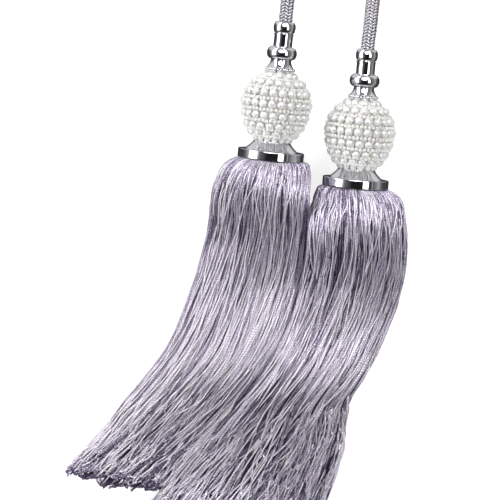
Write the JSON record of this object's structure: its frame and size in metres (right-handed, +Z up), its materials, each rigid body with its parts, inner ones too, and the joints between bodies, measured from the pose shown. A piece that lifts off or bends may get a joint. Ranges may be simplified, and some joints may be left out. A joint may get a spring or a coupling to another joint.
{
  "type": "double-tassel curtain tieback",
  "caption": "Curtain tieback lying flat: a braided rope with a long yarn tassel at each end, each under a pearl-covered ball, a chrome finial and a flared chrome cup.",
  "frame": {"origin": "on the surface, under the middle of the two tassels' box, rope left out", "axes": "+Z up from the surface that the tieback lies on, +Y from the yarn ends towards the finials, +X from the left tassel to the right one"},
  "size_m": [0.2276, 0.5525, 0.0503],
  "materials": {
    "chrome_plate": "mirror-bright plating on moulded and turned parts",
    "pearl": "white pearl lustre",
    "rayon_yarn": "silky twisted yarn, grey lilac",
    "rayon_braid": "round braided rope, pale grey lilac"
  },
  "bodies": {
    "root": {"left_finial": "chrome_plate", "left_ball": "pearl", "left_cup": "chrome_plate", "left_fringe": "rayon_yarn", "right_finial": "chrome_plate", "right_ball": "pearl", "right_cup": "chrome_plate", "right_fringe": "rayon_yarn", "rope": "rayon_braid"}
  },
  "joints": []
}
